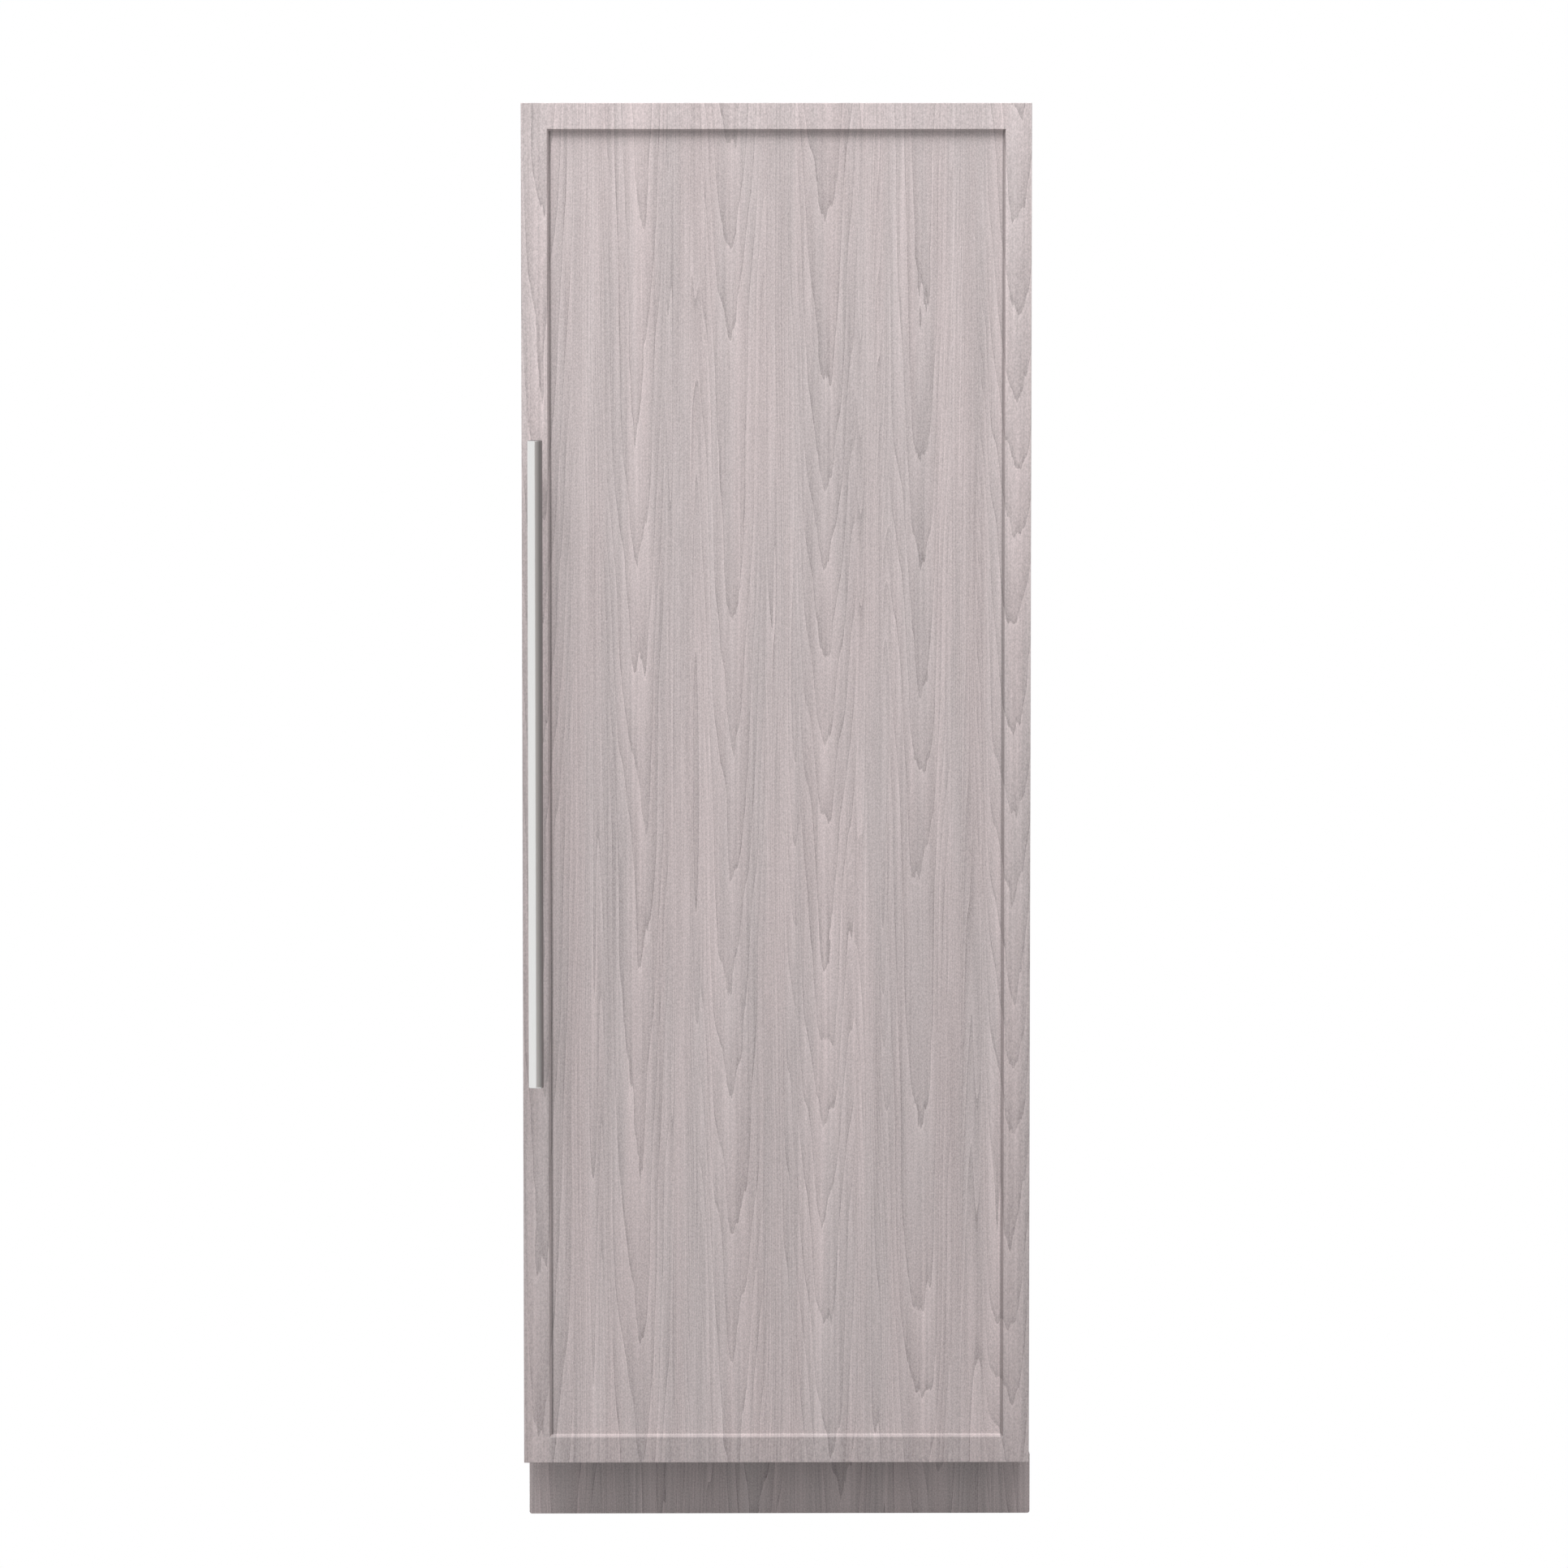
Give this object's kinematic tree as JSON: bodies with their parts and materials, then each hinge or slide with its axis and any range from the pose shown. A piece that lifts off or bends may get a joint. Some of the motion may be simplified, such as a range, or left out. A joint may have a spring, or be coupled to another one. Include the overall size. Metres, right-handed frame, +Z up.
{
  "type": "column refrigerator",
  "caption": "Built-in column refrigerator with a hinged insulated door behind a recessed wood panel, a round bar handle, glass shelves, sliding drawers and a recessed toe kick.",
  "frame": {"origin": "on the floor, under the middle of the whole object's box", "axes": "+Z up, front and handle towards -Y, hinged side towards +X"},
  "size_m": [0.7628, 0.6884, 2.132],
  "materials": {
    "panel_wood": "matte",
    "stainless": "satin",
    "case_steel": "satin",
    "zinc_steel": "satin",
    "liner_white": "satin",
    "grey_plastic": "matte",
    "dark_plastic": "matte",
    "clear_plastic": "gloss",
    "insulation": "matte",
    "seal_rubber": "matte",
    "clear_glass": "gloss",
    "fin_aluminium": "satin",
    "black_paint": "satin",
    "lamp_lens": "satin"
  },
  "bodies": {
    "cabinet": {"case_side_left": "case_steel", "case_side_right": "case_steel", "case_top": "case_steel", "back_panel": "case_steel", "cabinet_foam": "insulation", "inner_liner": "liner_white", "base_pan": "case_steel", "toe_kick_panel": "panel_wood", "machine_grille": "grey_plastic", "roller_bracket_left": "zinc_steel", "roller_bracket_right": "zinc_steel", "compressor": "black_paint", "condenser": "black_paint", "condenser_fan_frame": "dark_plastic", "evaporation_tray": "dark_plastic", "power_inlet": "dark_plastic", "rear_duct_cover": "liner_white", "evaporator": "fin_aluminium", "evaporator_fan_frame": "dark_plastic", "shelf_ladder_left": "stainless", "shelf_ladder_right": "stainless", "shelf_frame_lower": "stainless", "shelf_frame_middle": "stainless", "shelf_frame_upper": "stainless", "shelf_glass_lower": "clear_glass", "shelf_glass_middle": "clear_glass", "shelf_glass_upper": "clear_glass", "drawer_housing_left": "liner_white", "drawer_housing_right": "liner_white", "drawer_cover_glass": "clear_glass", "led_column_left": "lamp_lens", "led_column_right": "lamp_lens", "control_panel": "grey_plastic", "hinge_bracket_lower": "zinc_steel", "hinge_bracket_upper": "zinc_steel"},
    "hinge_arms": {"hinge_arm_lower": "zinc_steel", "hinge_arm_upper": "zinc_steel"},
    "door": {"door_outer_skin": "case_steel", "door_foam": "insulation", "door_liner": "liner_white", "door_gasket": "seal_rubber", "door_panel": "panel_wood", "handle_bar": "stainless", "handle_post_lower": "stainless", "handle_post_upper": "stainless", "bin_rail_left": "liner_white", "bin_rail_right": "liner_white", "door_bin_lower": "clear_plastic", "door_bin_middle": "clear_plastic", "door_bin_upper": "clear_plastic"},
    "drawer_upper": {"drawer_bin_upper": "clear_plastic", "drawer_front_upper": "clear_plastic"},
    "drawer_lower": {"drawer_bin_lower": "clear_plastic", "drawer_front_lower": "clear_plastic"},
    "condenser_fan": {"condenser_fan": "dark_plastic"},
    "evaporator_fan": {"evaporator_fan": "liner_white"},
    "front_foot_left": {"front_foot_left": "zinc_steel"},
    "front_foot_right": {"front_foot_right": "zinc_steel"},
    "rear_roller_left": {"rear_roller_left": "dark_plastic"},
    "rear_roller_right": {"rear_roller_right": "dark_plastic"}
  },
  "joints": [
    {"name": "hinge_arms_swing", "type": "hinge", "parent": "cabinet", "child": "hinge_arms", "pos_m": [0.31257, -0.19185, 1.1185], "axis": [0, 0, 1], "range_deg": [-17.3, 0]},
    {"name": "door_swing", "type": "hinge", "parent": "hinge_arms", "child": "door", "pos_m": [0.35657, -0.24985, 1.1185], "axis": [0, 0, 1], "range_deg": [0, 132.25]},
    {"name": "drawer_upper_slide", "type": "slide", "parent": "cabinet", "child": "drawer_upper", "axis": [0, -1, 0], "range_m": [0, 0.28]},
    {"name": "drawer_lower_slide", "type": "slide", "parent": "cabinet", "child": "drawer_lower", "axis": [0, -1, 0], "range_m": [0, 0.28]},
    {"name": "condenser_fan_spin", "type": "hinge", "parent": "cabinet", "child": "condenser_fan", "pos_m": [0.10128, 0.12615, 0.1933], "axis": [-1, 0, 0], "continuous": true},
    {"name": "evaporator_fan_spin", "type": "hinge", "parent": "cabinet", "child": "evaporator_fan", "pos_m": [-0.00343, 0.25895, 1.947], "axis": [0, -1, 0], "continuous": true},
    {"name": "front_foot_left_level", "type": "slide", "parent": "cabinet", "child": "front_foot_left", "axis": [0, 0, -1], "range_m": [0, 0.022]},
    {"name": "front_foot_right_level", "type": "slide", "parent": "cabinet", "child": "front_foot_right", "axis": [0, 0, -1], "range_m": [0, 0.022]},
    {"name": "rear_roller_left_spin", "type": "hinge", "parent": "cabinet", "child": "rear_roller_left", "pos_m": [-0.30343, 0.27615, 0.025], "axis": [1, 0, 0], "continuous": true},
    {"name": "rear_roller_right_spin", "type": "hinge", "parent": "cabinet", "child": "rear_roller_right", "pos_m": [0.29657, 0.27615, 0.025], "axis": [1, 0, 0], "continuous": true}
  ],
  "couplings": [
    {"joint": "hinge_arms_swing", "follows": "door_swing", "ratio": -0.13043},
    {"joint": "drawer_upper_slide", "follows": "door_swing", "m_per_rad": 0.1213},
    {"joint": "drawer_lower_slide", "follows": "door_swing", "m_per_rad": 0.1213}
  ]
}
